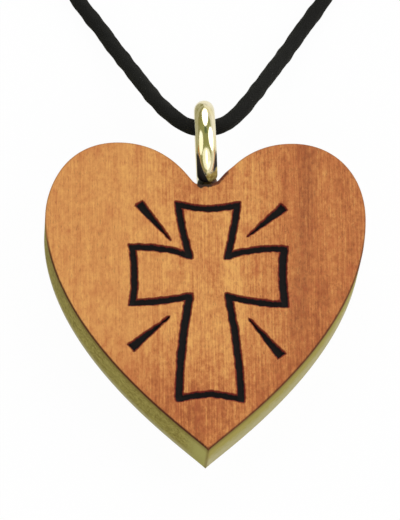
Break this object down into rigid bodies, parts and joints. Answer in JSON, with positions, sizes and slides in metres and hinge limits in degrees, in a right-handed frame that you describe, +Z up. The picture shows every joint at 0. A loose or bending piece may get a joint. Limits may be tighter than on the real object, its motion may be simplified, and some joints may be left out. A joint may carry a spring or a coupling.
{
  "type": "wooden heart pendant",
  "caption": "Flat wooden heart with a burnt-in flared cross and rays, a brass screw eye in its notch and a black braided neck cord wound into a coil.",
  "frame": {"origin": "on the table under the middle of the heart and its eye, taken together without the cord", "axes": "+Z up from the table, +Y from the heart's tip to its eye, +X to the right of the face"},
  "size_m": [0.0306, 0.0878, 0.0091],
  "materials": {
    "wood": "fine-grained fruitwood, oiled and sanded, with charred lines",
    "eye": "polished pale brass wire",
    "cord": "black braided cord"
  },
  "bodies": {
    "root": {"heart_body": "wood", "screw_eye": "eye", "cord": "cord", "cord_coil": "cord", "cord_knot": "cord"}
  },
  "joints": []
}
